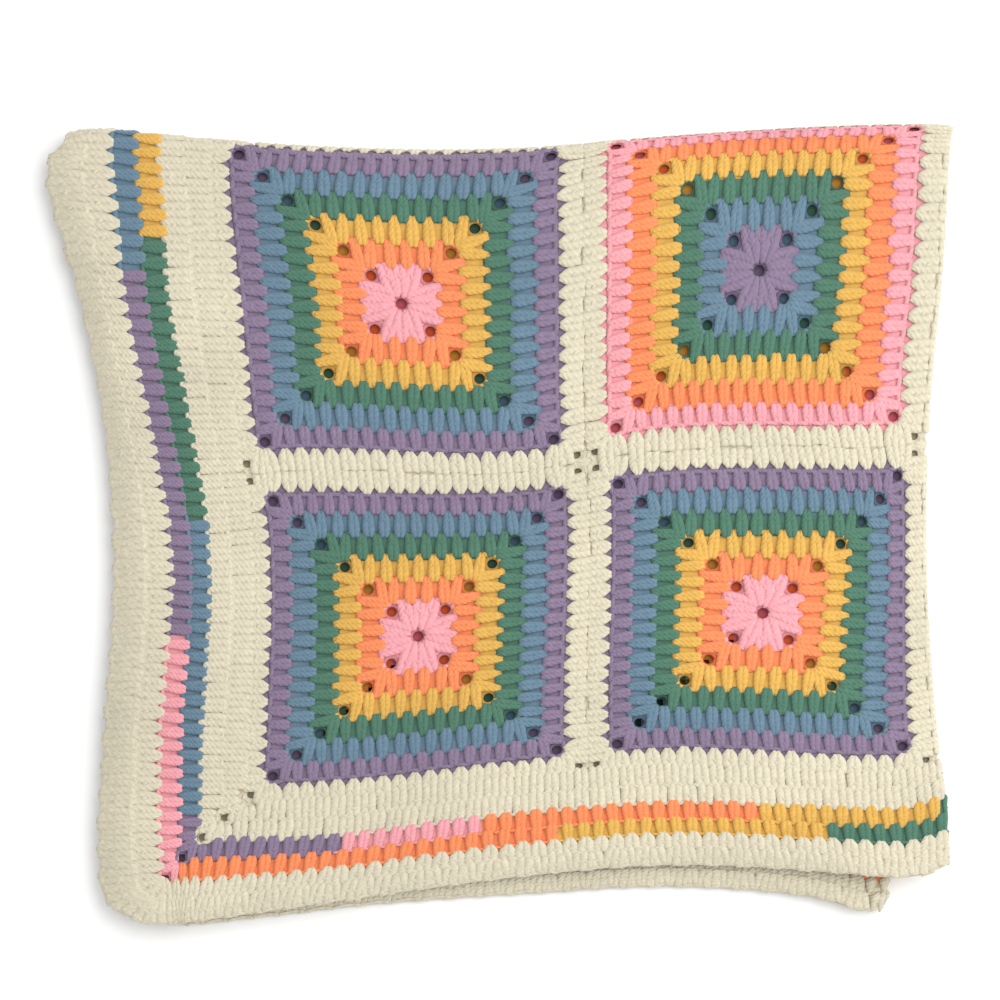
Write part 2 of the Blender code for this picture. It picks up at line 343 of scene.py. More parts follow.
yarns = {name: yarnMaterial("plied acrylic yarn, " + name, linear(code), True)
         for name, code in yarnColours.items()}
paintedGapShadeYarns = yarnsIn("between the posts")
paintedRimShadeYarns = yarnsIn("round the spaces")
paintedShadeCreamYarn = yarnsIn("under the first loops", ["cream"])["cream"]
paintedInsideShadeYarns = yarnsIn("inside the stack")


# A piece from arrays: points in metres, all faces' corners in one run, and how many corners each face has.
def addPiece(name, points, loops, sizes, materials, faceMaterial=None, uv=None, smooth=True):
    mesh = bpy.data.meshes.new(name)
    sizes = np.asarray(sizes, np.int32)
    mesh.vertices.add(len(points))
    mesh.vertices.foreach_set("co", np.asarray(points, np.float32).ravel())
    mesh.loops.add(len(loops))
    mesh.loops.foreach_set("vertex_index", np.asarray(loops, np.int32))
    mesh.polygons.add(len(sizes))
    starts = np.concatenate([[0], np.cumsum(sizes)[:-1]])
    mesh.polygons.foreach_set("loop_start", starts.astype(np.int32))
    mesh.polygons.foreach_set("loop_total", sizes)
    for material in materials:
        mesh.materials.append(material)
    if faceMaterial is not None:
        mesh.polygons.foreach_set("material_index", np.asarray(faceMaterial, np.int32))
    if uv is not None:
        mesh.uv_layers.new(name="strand").data.foreach_set("uv", np.asarray(uv, np.float32).ravel())
    mesh.polygons.foreach_set("use_smooth", np.full(len(sizes), smooth))
    mesh.update()
    mesh.validate()
    piece = bpy.data.objects.new(name, mesh)
    bpy.context.scene.collection.objects.link(piece)
    return piece


# Many tubes at once. centres is (tubes, rings, 3) in cloth mm; wide and tall are the half width and half
# height of each ring. A ring stands square to its path: centre + wide x cos a x side + tall x sin a x up.
def tubes(centres, wide, tall, sides, tangents=None):
    count, rings = centres.shape[:2]
    along = np.gradient(centres, axis=1) if tangents is None else np.tile(tangents, (count, 1, 1))
    along /= np.linalg.norm(along, axis=2, keepdims=True)
    side = np.cross(along, [0, 0, 1.0])
    side /= np.linalg.norm(side, axis=2, keepdims=True)
    up = np.cross(side, along)
    turn = np.arange(sides) * 2 * pi / sides + pi / 2
    wide = np.broadcast_to(wide, (count, rings))[..., None, None]
    tall = np.broadcast_to(tall, (count, rings))[..., None, None]
    points = (centres[:, :, None] + wide * np.cos(turn)[:, None] * side[:, :, None]
              + tall * np.sin(turn)[:, None] * up[:, :, None])
    index = np.arange(count * rings * sides).reshape(count, rings, sides)
    around = np.roll(index, -1, axis=2)
    quads = np.stack([index[:, :-1], around[:, :-1], around[:, 1:], index[:, 1:]], axis=-1).reshape(-1, 4)
    startCap = index[:, 0, ::-1].reshape(-1, sides)
    endCap = index[:, -1].reshape(-1, sides)
    loops = np.concatenate([quads.ravel(), startCap.ravel(), endCap.ravel()])
    sizes = np.concatenate([np.full(len(quads), 4), np.full(2 * count, sides)])
    steps = np.linalg.norm(np.diff(centres, axis=1), axis=2)
    length = np.concatenate([np.zeros((count, 1)), np.cumsum(steps, axis=1)], axis=1)
    length = np.repeat(length[:, :, None], sides, axis=2)
    u0 = np.broadcast_to(np.arange(sides) / sides, (count, rings, sides))
    u1 = u0 + 1 / sides
    near, far = slice(-1), slice(1, None)
    quadUv = np.stack([np.stack([u[:, ring], length[:, ring]], axis=-1)
                       for u, ring in ((u0, near), (u1, near), (u1, far), (u0, far))], axis=-2).reshape(-1, 2)
    capUv = np.zeros((2 * count * sides, 2))
    return points.reshape(-1, 3), loops, sizes, np.concatenate([quadUv, capUv])


# Several meshes as one: each part's corner numbers start after the points before it.
def joined(parts):
    points, loops, sizes, uvs = zip(*parts)
    starts = np.cumsum([0] + [len(part) for part in points])
    loops = [part + start for part, start in zip(loops, starts)]
    return [np.concatenate(lists) for lists in (points, loops, sizes, uvs)]


# Where every stitch stands on the open cloth: its base, its tip and its colour.
stitches = {
    "pitch": 7.6,
    "perSide": 3,  # the first round has three a side, the second six, and so on
    "cornerClear": 5.0,  # from a corner space to the middle of the stitch beside it
    "chainIn": 0.9,  # from the tips in to the middle of the chain
    "overSeam": 1.0,  # the cream rounds of two squares meet in the seam
    "underCream": 2.6,  # how far the cream round covers the tips of the last coloured one
    "ringBase": 7.0, "ringFan": pi / 6,  # the first round's stitches fan out from the ring
    "jitter": 0.28, "seamJitter": 0.9,  # how uneven the hand work is
}
shells = {"pitch": 15.0, "fan": (-1, 0, 1), "footStep": 3.6, "scallop": (-0.8, 0.8, -0.8)}
# The two stitches each side of a corner stand in the corner space of the round before, clear of its hole.
corners = {"lastOut": 4.3, "lastUp": 5.2, "nextIn": 0.6, "nextUp": 6.2, "turnBeside": 4.4, "turnOver": 3.3}
squareColours = ("pink", "orange", "yellow", "green", "blue", "purple", "cream")
turnedColours = ("purple", "blue", "green", "yellow", "orange", "pink", "cream")
creamOnCream = {"fused": (1, 2, 6), "ridge": (1, 5, 6)}  # border rounds that close up, and that stand up
stripes = {  # round 3 and 4 of the border: colours change on the way round, from the far left corner
    3: {"first": "pink", "lengths": (133, 150, 150, 134, 154, 105, 67, 135, 88) + (150,) * 14},
    4: {"first": "orange", "lengths": (8, 150, 150, 150, 183, 133, 190, 135) + (150,) * 14},
}
stripeCycle = ("pink", "orange", "yellow", "green", "blue", "purple")


# The middle of each square, and its colours: every second one of every second row has them the other way.
def squareCentres():
    places = (np.arange(cloth["squaresAcross"]) - (cloth["squaresAcross"] - 1) / 2) * squarePitch
    return [(places[column], places[row], turnedColours if column % 2 and row % 2 else squareColours)
            for column in range(cloth["squaresAcross"]) for row in range(cloth["squaresAcross"])]


# One side's places carried to all four, by quarter turns about the middle.
def fourSides(places):
    x, y = places.T
    return np.concatenate([np.stack(side, axis=1) for side in ((x, y), (-y, x), (-x, -y), (y, -x))])


# Where a square's round n has its corner spaces.
def cornerOf(n):
    back = cloth["holeBack" if n < squareRounds else "lastHoleBack"]
    return cloth["ringRadius"] + roundWidth * n - back


# The line along which the next round grips a square's round n. The last one goes on into the seam.
def gripLine(n):
    line = cloth["ringRadius"] + roundWidth * n + cloth["gripOut"]
    return min(line, squareHalf + stitches["overSeam"])


# The cream round covers the tips of the coloured one under it, so those end earlier.
def tipLine(n):
    return gripLine(n) - (stitches["underCream"] if n == squareRounds - 1 else 0)


# One side of a round with square corners, facing -q: stitches at an even pitch from the inner line to the
# outer one, the last two at each end worked into the corner space of the round before.
def straightSide(count, corner, before, inner, outer):
    pitch = 2 * (corner - stitches["cornerClear"]) / (count - 1)
    tip = (np.arange(count) - (count - 1) / 2) * pitch
    base = tip.copy()
    out = np.full(count, float(inner))
    for end in (-1, 1):
        last = (count - 1) if end > 0 else 0
        base[last] = end * (before + corners["lastOut"])
        base[last - end] = end * (before - corners["nextIn"])
        out[last] = before + corners["lastUp"]
        out[last - end] = before + corners["nextUp"]
    return np.stack([base, -out], axis=1), np.stack([tip, np.full(count, -float(outer))], axis=1)


# The chain along the tips of a round, closed round all four sides, with each corner turned in short links.
def chainPath(tipAt, cornerPoints, chainIn=stitches["chainIn"]):
    return fourSides(np.concatenate([tipAt + (0, chainIn), cornerPoints]))


# The chain round a corner space: beside it, out past it, and beside it again.
def cornerTurn(corner):
    beside, over = corners["turnBeside"], corners["turnOver"]
    return np.array([(corner, -corner - beside),
                     (corner + over, -corner - over),
                     (corner + beside, -corner)])


class Round:
    def __init__(self, base, tip, chain, colour, isBorder, isFused, isRidge):
        self.base, self.tip, self.chain, self.colour, self.isBorder = base, tip, chain, colour, isBorder
        self.isFused = isFused  # the stitches close up: cream worked into cream, or worked into the ring
        self.isRidge = isRidge  # the chain stands up as a soft ridge


# Every square's rounds, worked about nought and then moved to the square's middle.
def squareRoundsOfAll():
    rounds = []
    for centreP, centreQ, names in squareCentres():
        for n in range(1, squareRounds + 1):
            corner = cornerOf(n)
            count = stitches["perSide"] * n
            baseAt, tipAt = straightSide(count, corner, cornerOf(n - 1), gripLine(n - 1), tipLine(n))
            if n == 1:
                fan = (np.arange(count) - (count - 1) / 2) * stitches["ringFan"]
                baseAt = np.stack([np.sin(fan), -np.cos(fan)], axis=1) * stitches["ringBase"]
            chainIn = stitches["overSeam" if n == squareRounds else "chainIn"]
            chain = chainPath(tipAt, cornerTurn(corner), chainIn)
            lines = [line + (centreP, centreQ) for line in (fourSides(baseAt), fourSides(tipAt), chain)]
            rounds.append(Round(*lines, names[n - 1], isBorder=False, isFused=n == 1, isRidge=False))
    return rounds


# The outer line of border round k.
def borderLine(k):
    return bordersFrom + roundWidth * k


# The colour of border round k at a place: s is how far along the round it lies from the far left corner, and
# the colours change where the lengths add up to it.
def stripeColour(k, p, q):
    h = borderLine(k - 0.5)
    left, front = p <= -np.abs(q), q < -np.abs(p)
    right = (p >= np.abs(q)) & ~front
    s = np.select([left, front, right], [h - q, 3 * h + p, 5 * h + q], 7 * h - p)
    ends = np.cumsum(stripes[k]["lengths"])
    first = stripeCycle.index(stripes[k]["first"])
    order = [stripeCycle[(first + i) % len(stripeCycle)] for i in range(len(ends) + 1)]
    return np.array([tintOf[name] for name in order])[np.searchsorted(ends, s)]


# A rounded square's point at a distance along one side from its middle: straight, then round the corner.
def roundedSide(half, radius, distance):
    reach = half - radius
    turn = np.clip(np.abs(distance) - reach, 0, None) / radius
    along = np.minimum(np.abs(distance), reach) + radius * np.sin(turn)
    return np.stack([np.sign(distance) * along, -(reach + radius * np.cos(turn))], axis=-1)


# A border round with rounded corners: stitches at an even pitch along the outer line, and in the edging
# shells of three that fan out from one place.
def roundedRound(k):
    outer = borderLine(k)
    inner = outer - roundWidth
    outerRadius = cloth["cornerRadius"] - (blanketHalf - outer)
    innerRadius = max(outerRadius - roundWidth, cloth["leastRadius"])
    reach = outer - outerRadius
    length = reach + outerRadius * pi / 4
    if k < cloth["borderRounds"]:
        count = round(2 * length / stitches["pitch"])
        tipDistance = (np.arange(count) - (count - 1) / 2) * 2 * length / count
        baseDistance = tipDistance
        rise = np.zeros(count)
    else:
        count = round(2 * length / shells["pitch"])
        shell = (np.arange(count) - (count - 1) / 2) * 2 * length / count
        fan = np.array(shells["fan"])
        tipDistance = (shell[:, None] + fan * 2 * length / count / len(fan)).ravel()
        baseDistance = (shell[:, None] + fan * shells["footStep"]).ravel()
        rise = np.tile(shells["scallop"], count)
    over = np.clip(np.abs(baseDistance) - reach, 0, None)
    innerDistance = np.minimum(np.abs(baseDistance), reach) + over * innerRadius / outerRadius
    baseAt = roundedSide(inner, innerRadius, np.sign(baseDistance) * innerDistance)
    tipAt = roundedSide(outer, outerRadius, tipDistance)
    # a line 1 mm further out gives the way outwards at each tip
    out = roundedSide(outer + 1, outerRadius + 1, tipDistance * (length + pi / 4) / length) - tipAt
    out /= np.linalg.norm(out, axis=1, keepdims=True)
    tipAt = tipAt + out * rise[:, None]
    return fourSides(baseAt), fourSides(tipAt), fourSides(tipAt - out * stitches["chainIn"])


# A border round with square corners. Its count is odd and even by turns, so the stitches of one round stand
# over the gaps of the one before.
def squareCorneredRound(k):
    outer = borderLine(k)
    inner = outer - roundWidth
    corner = outer - cloth["holeBack"]
    count = round((corner - stitches["cornerClear"]) / stitches["pitch"]) * 2 + 1 + k % 2
    baseAt, tipAt = straightSide(count, corner, corner - roundWidth, inner, outer)
    return fourSides(baseAt), fourSides(tipAt), chainPath(tipAt, cornerTurn(corner))


# A striped round has its own number in place of a colour.
def borderRoundsOfAll():
    rounds = []
    for k in range(1, cloth["borderRounds"] + 1):
        lines = squareCorneredRound(k) if k <= cloth["squareCornered"] else roundedRound(k)
        rounds.append(Round(*lines, k if k in stripes else "cream", isBorder=True,
                            isFused=k in creamOnCream["fused"], isRidge=k in creamOnCream["ridge"]))
    return rounds


# Every round's stitches or chain links in long lists: two ends, a colour number, and three marks.
def listed(rounds, ends):
    lists = []
    for one in rounds:
        start, stop = ends(one)
        if one.colour in stripes:
            tint = stripeColour(one.colour, *((start + stop) / 2).T)
        else:
            tint = np.full(len(start), tintOf[one.colour])
        marks = [np.full(len(start), mark) for mark in (one.isBorder, one.isFused, one.isRidge)]
        lists.append((start, stop, tint, *marks))
    return [np.concatenate(parts) for parts in zip(*lists)]


# A stitch is two strands side by side: rounded feet over the chain of the round before, then a post as far as
# its own chain. A third strand wraps slantwise over the post. One value for each ring, foot to tip, in mm.
strand = {
    "along": (-2.9, -2.3, -0.9, 1.2, 4.2, 7.0, 10.0, 11.4),
    "spread": (0.6, 0.85, 1.05, 1.25, 1.15, 1.0, 0.95, 0.7),
    "looser": (-0.05, -0.15, -0.1, 0.3, 0.75, 0.85, 0.9, 0.95),  # added to the spread and width in cream
    "fused": (0.35, 0.5, 0.55, 0.55, 0.6, 0.7, 0.75, 0.8),  # and where cream is worked into cream
    "tucked": (0.2, -0.2, -0.25, -0.1, 0, 0.05, 0.15, 0.6),  # the height added there
    "inRing": (0.1, 0.2, 0.35, 0.5, 0.65, 0.6, 0.45, 0.3),  # and in the first round, over the ring
    "height": (0.1, 0.35, 0.45, 0.3, 0.0, -0.05, -0.1, -0.6),
    "higher": (0, 0, 0, 0, 0, 0.05, 0.15, 0.6),  # added to the height in cream
    "wide": (0.9, 1.35, 1.65, 2.0, 1.95, 1.7, 1.6, 1.2),
    "tall": (0.4, 0.9, 1.15, 1.15, 1.05, 1.0, 1.0, 0.7),
    "sides": 6,
    "sidesAcross": 5,  # of the strands that lie across: wraps and chain links
    "uneven": (0.95, 1.06),  # a hand-made stitch is a little slimmer or fuller than the next
}
wrap = {
    "along": (3.6, 4.5, 5.7, 6.9, 7.9),
    "across": (-2.4, -1.4, 0.0, 1.4, 2.4),
    "height": (-0.8, 0.2, 0.5, 0.2, -0.8),
    "wide": (0.7, 0.95, 1.05, 0.95, 0.7),
    "tall": (0.6, 0.7, 0.75, 0.7, 0.6),
}
# A chain link lies from one tip to the next and a little past both, slantwise, so the chain looks twisted.
link = {
    "past": 0.8,
    "seamSunk": 0.9,  # the joining seam pulls its chain down
    "ridgeRaised": 0.4,  # and cream on cream stands up in a soft ridge
    "sway": (0.45, 0.25, 0.0, -0.25, -0.45),
    "height": (-0.8, -0.15, 0.0, -0.15, -0.8),
    "wide": (0.8, 1.2, 1.35, 1.2, 0.8),
    "tall": (0.6, 0.95, 1.05, 0.95, 0.6),
}
post = {  # a plain stitch where it is hardly seen: one plump strand
    "along": (-3.4, -1.0, 1.8, 4.2, 8.0, 12.8),
    "height": (-1.2, 0.0, -0.1, -0.4, -0.6, -1.2),
    "wide": (1.2, 2.1, 3.8, 2.9, 2.2, 1.0),
    "tall": (0.7, 1.6, 1.7, 1.4, 1.2, 0.7),
    "sides": 5,
}


# Unit vectors along and across a stitch, and its length as a share of one round.
def frameOf(base, tip):
    reach = np.linalg.norm(tip - base, axis=1, keepdims=True)
    out = (tip - base) / reach
    return out, np.stack([-out[:, 1], out[:, 0]], axis=1), reach[:, 0] / roundWidth


# Flat paths and their heights as paths in space.
def raised(flat, height):
    return np.concatenate([flat, np.broadcast_to(height, flat.shape[:2])[..., None]], axis=2)


# Each strand is a tube through base + along x out + sideways x across, at its height over the cloth.
def fineStitches(base, tip, widening="none", raising="none"):
    out, across, stretch = frameOf(base, tip)
    widths = rng.uniform(*strand["uneven"], len(base))[:, None]

    def lay(shape, sideways, height, wide, sides):
        along = np.array(shape["along"])[None] * stretch[:, None]
        aside = (sideways * widths)[..., None] * across[:, None]
        flat = base[:, None] + along[..., None] * out[:, None] + aside
        return tubes(raised(flat, height), wide[None] * widths, np.array(shape["tall"])[None] * widths, sides)

    none = np.zeros(len(strand["along"]))
    extra = none + strand.get(widening, 0)
    height = none + strand["height"] + strand.get(raising, 0)
    spread, wide = strand["spread"] + extra, strand["wide"] + extra
    parts = [lay(strand, side * spread, height, wide, strand["sides"]) for side in (-1, 1)]
    parts.append(lay(wrap, np.array(wrap["across"]), wrap["height"], np.array(wrap["wide"]),
                     strand["sidesAcross"]))
    return joined(parts)


# The same in cream, which is looser, where stitches close up, and over the ring.
def looseStitches(base, tip):
    return fineStitches(base, tip, "looser", "higher")


def fusedStitches(base, tip):
    return fineStitches(base, tip, "fused", "tucked")


def ringStitches(base, tip):
    return fineStitches(base, tip, "inRing")


# Each link is a tube along the straight line from start to end, swaying across it.
def chainLinks(start, end, sunk=0):
    run, across, _ = frameOf(start, end)
    share = np.linspace(0, 1, len(link["sway"]))[None, :, None]
    start, end = start - run * link["past"], end + run * link["past"]
    sway = np.array(link["sway"])[:, None] * across[:, None]
    flat = start[:, None] * (1 - share) + end[:, None] * share + sway
    return tubes(raised(flat, np.array(link["height"]) - sunk), np.array(link["wide"]),
                 np.array(link["tall"]), strand["sidesAcross"])


# The same, lower in the seam and higher on a ridge.
def seamLinks(start, end):
    return chainLinks(start, end, link["seamSunk"])


def ridgeLinks(start, end):
    return chainLinks(start, end, -link["ridgeRaised"])


# One strand along each stitch: base + along x out.
def plainStitches(base, tip):
    out, _, stretch = frameOf(base, tip)
    along = np.array(post["along"])[None] * stretch[:, None]
    flat = base[:, None] + along[..., None] * out[:, None]
    return tubes(raised(flat, post["height"]), np.array(post["wide"]), np.array(post["tall"]), post["sides"])


# The yarn round a hole, coloured in painted shade: one closed strand, lower than the stitches beside it.
rims = {
    "corner": {"radius": 3.8, "wide": 1.4, "tall": 0.6, "height": -0.9},
    "small": {"radius": 2.9, "wide": 0.9, "tall": 0.6, "height": -1.1},
    "centre": {"radius": 3.9, "wide": 1.3, "tall": 0.7, "height": -0.7},
    "steps": 12, "sides": 6,
}


# A circle about the place, closed on itself.
def rimMesh(place, kind):
    turn = np.arange(rims["steps"] + 1) * 2 * pi / rims["steps"]
    rim = rims[kind]
    flat = (place + np.stack([np.cos(turn), np.sin(turn)], axis=1) * rim["radius"])[None]
    tangents = np.stack([-np.sin(turn), np.cos(turn), 0 * turn], axis=1)
    return tubes(raised(flat, rim["height"]), rim["wide"], rim["tall"], rims["sides"], tangents)


pieces = []


# One piece of each colour from several kinds of stitch. Each kind has two makers, the second one for cream.
def addYarn(label, kinds):
    for index, colour in enumerate(colourNames):
        parts = [builder[colour == "cream"](start[tints == index], stop[tints == index])
                 for builder, start, stop, tints in kinds if (tints == index).any()]
        if parts:
            points, loops, sizes, uvs = joined(parts)
            pieces.append(addPiece(label + "_" + colour, laidOut(points), loops, sizes, [yarns[colour]],
                                   uv=uvs))


fourCorners = np.array([(-1, -1), (-1, 1), (1, -1), (1, 1)])
clearlyInside = 0.98  # a corner space's colour is read this share of the way out to it


# Where the corner spaces are, and the colour of the round each lies in.
def cornerPlaces():
    places, tints = [], []
    for centreP, centreQ, names in squareCentres():
        for n in range(1, squareRounds + 1):
            places.append((centreP, centreQ) + fourCorners * cornerOf(n))
            tints.append(np.full(len(fourCorners), tintOf[names[n - 1]]))
    for k in range(1, cloth["squareCornered"] + 1):
        places.append(fourCorners * (borderLine(k) - cloth["holeBack"]))
        inner = clearlyInside * places[-1]
        tints.append(stripeColour(k, inner[:, 0], inner[:, 1]) if k in stripes
                     else np.full(len(fourCorners), tintOf["cream"]))
    return np.concatenate(places), np.concatenate(tints)


# How far past a fold or in from an edge the cloth can be seen, in mm.
seen = {"pastSide": 12, "pastTop": 24, "fromEdge": 30, "besideTop": 20, "fromFront": 24}


# Which places lie on the top layer with its folds, on the right side under the stack, and at the rims of the
# layers between, of which the front one peeks out.
def whichLayer(places):
    side, far = places[:, 0] - fold["sideAt"], places[:, 1] - fold["topAt"]
    isTop = (side < seen["pastSide"]) & (far < seen["pastTop"])
    isUnder = ~isTop & (side < seen["pastSide"])
    edge = blanketHalf - np.abs(places).max(axis=1)
    isRim = ~isTop & ~isUnder & ((edge < seen["fromEdge"]) | (np.abs(far) < seen["besideTop"]) & (side > 0))
    peeks = isRim & (blanketHalf - places[:, 1] < seen["fromFront"])
    return isTop, isUnder, isRim & ~peeks, peeks


# The chosen rows of each list.
def only(chosen, *lists):
    return [part[chosen] for part in lists]


# Every stitch and link, sorted by its layer. Hand work is a little uneven, most of all across the seams.
rounds = squareRoundsOfAll() + borderRoundsOfAll()
bases, tips, tints, inBorder, isFused, _ = listed(rounds, lambda one: (one.base, one.tip))
linkFrom, linkTo, linkTints, linkInBorder, _, isRidge = listed(
    rounds, lambda one: (one.chain, np.roll(one.chain, -1, axis=0)))
bases = bases + rng.normal(0, stitches["jitter"], bases.shape)
tips = tips + rng.normal(0, stitches["jitter"], tips.shape)
isAtSeam = ~inBorder & (tints == tintOf["cream"])
out = frameOf(bases, tips)[0]
tips = tips + out * (rng.uniform(-1, 1, len(tips)) * stitches["seamJitter"] * isAtSeam)[:, None]
onTop, isUnder, isRim, peeks = whichLayer((bases + tips) / 2)
linkOnTop, _, _, linkPeeks = whichLayer((linkFrom + linkTo) / 2)
for label, chosen, links in (("top_squares", onTop & ~inBorder, linkOnTop & ~linkInBorder),
                             ("top_border", onTop & inBorder, linkOnTop & linkInBorder),
                             ("front_under", peeks, linkPeeks)):
    creamLinks = seamLinks if label == "top_squares" else chainLinks
    addYarn(label, [((fineStitches, looseStitches), *only(chosen & ~isFused, bases, tips, tints)),
                    ((ringStitches, fusedStitches), *only(chosen & isFused, bases, tips, tints)),
                    ((chainLinks, creamLinks), *only(links & ~isRidge, linkFrom, linkTo, linkTints)),
                    ((ridgeLinks, ridgeLinks), *only(links & isRidge, linkFrom, linkTo, linkTints))])
for label, chosen in (("under", isUnder), ("rim", isRim)):
    addYarn(label, [((plainStitches, plainStitches), *only(chosen, bases, tips, tints))])
print("stitches", onTop.sum(), isUnder.sum(), isRim.sum(), peeks.sum())

# The rims of the spaces, all in one piece, in the yarn's painted shade round the spaces.
spaces, spaceTints = cornerPlaces()
isCream = spaceTints == tintOf["cream"]
spaceOnTop = whichLayer(spaces)[0]
centres = np.array([(p, q) for p, q, _ in squareCentres()])
centreTints = np.array([tintOf[names[0]] for _, _, names in squareCentres()])
rimParts, rimTints = [], []
for kind, places, rimTint, chosen in (("corner", spaces, spaceTints, spaceOnTop & ~isCream),
                                      ("small", spaces, spaceTints, spaceOnTop & isCream),
                                      ("centre", centres, centreTints, whichLayer(centres)[0])):
    for place, tint in zip(places[chosen], rimTint[chosen]):
        rimParts.append(rimMesh(place, kind))
        rimTints.append(np.full(len(rimParts[-1][2]), tint))
points, loops, sizes, uvs = joined(rimParts)
pieces.append(addPiece("holes", laidOut(points), loops, sizes, list(paintedRimShadeYarns.values()), uv=uvs,
                       faceMaterial=np.concatenate(rimTints)))


# The ground: the closed body of the cloth just under the stitches, with the ring and corner spaces open.
ground = {
    "top": -0.5, "bottom": -halfThick,
    "hole": 3.0, "smallHole": 2.3, "ringHole": 2.9,  # half the width of the spaces
    "litRim": 26,  # the wrong side is left plain, as in the light, this far in from the edge; further in it is painted in shade
    "pastTip": 2.5,  # a coloured round shows this far between the feet of the cream one
    "shadeDepth": 6.0,  # of the painted shade between the cream round's first loops
    "outwards": 6.5,  # the feet of the next round line a corner space
    "leastGap": 0.35, "mostGap": 6.2,  # between the grid's lines
    "foldReach": 4.4, "foldLines": 9,  # the extra lines at the side fold; twice as far apart at the top one
}


# Half the width of the corner spaces of a square's round n.
def spaceHalf(n):
    return ground["hole" if n < squareRounds else "smallHole"]


# The grid's own lines: the edges of every space on both sides of the middle, and the edge of the blanket.
def gridLines():
    squareLines = [-ground["ringHole"], ground["ringHole"]]
    for n in range(1, squareRounds + 1):
        for line in (cornerOf(n) - spaceHalf(n), cornerOf(n) + spaceHalf(n)):
            squareLines += [-line, line]
    lines = [centre + line for centre in sorted({c[0] for c in squareCentres()}) for line in squareLines]
    for k in range(1, cloth["borderRounds"] + 1):
        d = borderLine(k) - cloth["holeBack"]
        for line in (d - ground["smallHole"], d + ground["smallHole"]):
            lines += [-line, line]
    return lines + [-blanketHalf, blanketHalf]


# Lines that all but meet become one, and wide gaps are parted evenly.
def withMore(lines, extra):
    lines = sorted(lines + list(extra))
    kept = [lines[0]]
    for line in lines[1:]:
        if line - kept[-1] > ground["leastGap"]:
            kept.append(line)
    filled = [kept[0]]
    for line in kept[1:]:
        gap = line - filled[-1]
        parts = max(1, math.ceil(gap / ground["mostGap"]))
        filled += [filled[-1] + gap * (i + 1) / parts for i in range(parts)]
    return np.array(filled)


# How far out a place lies in a square pattern: the greater of |p| and |q|.
def reachOf(p, q):
    return np.maximum(np.abs(p), np.abs(q))


# The colour of the round a place lies in: its number n is how many round widths it lies from the ring.
def groundColour(p, q):
    lastColoured = squareRounds - 1
    reachAll = reachOf(p, q)
    colour = np.full(p.shape, tintOf["cream"])
    for centreP, centreQ, names in squareCentres():
        reach = reachOf(p - centreP, q - centreQ)
        n = np.ceil((reach - cloth["ringRadius"] - cloth["gripOut"] / 2) / roundWidth)
        n = np.clip(n, 1, lastColoured).astype(int)
        n = np.where(reach > tipLine(lastColoured) + ground["pastTip"], squareRounds, n)
        for i, name in enumerate(names):
            colour = np.where((n == i + 1) & (reach < squareHalf), tintOf[name], colour)
    for k in stripes:
        inner = borderLine(k - 1)
        here = (reachAll > inner) & (reachAll <= inner + roundWidth + ground["pastTip"])
        colour = np.where(here, stripeColour(k, p, q), colour)
    return colour


# The cream yarn next to a coloured round, in painted shade between the first loops.
def inShade(p, q):
    shaded = np.zeros(p.shape, bool)
    inner = tipLine(squareRounds - 1) + ground["pastTip"]
    for centreP, centreQ, _ in squareCentres():
        reach = reachOf(p - centreP, q - centreQ)
        shaded |= (reach > inner) & (reach < inner + ground["shadeDepth"])
    past = reachOf(p, q) - borderLine(max(stripes)) - ground["pastTip"]
    return shaded | (past > 0) & (past < ground["shadeDepth"])


# The middle of the square that p or q lies in.
def nearestCentre(place):
    return (np.floor(place / squarePitch) + 0.5) * squarePitch


# p or q moved further from the middle of its square, but not past the coloured rounds.
def outwards(place):
    centre = nearestCentre(place)
    off = np.abs(place - centre)
    moved = np.maximum(off, np.minimum(off + ground["outwards"], tipLine(squareRounds - 1)))
    return np.where(np.abs(place) < bordersFrom, centre + np.sign(place - centre) * moved, place)
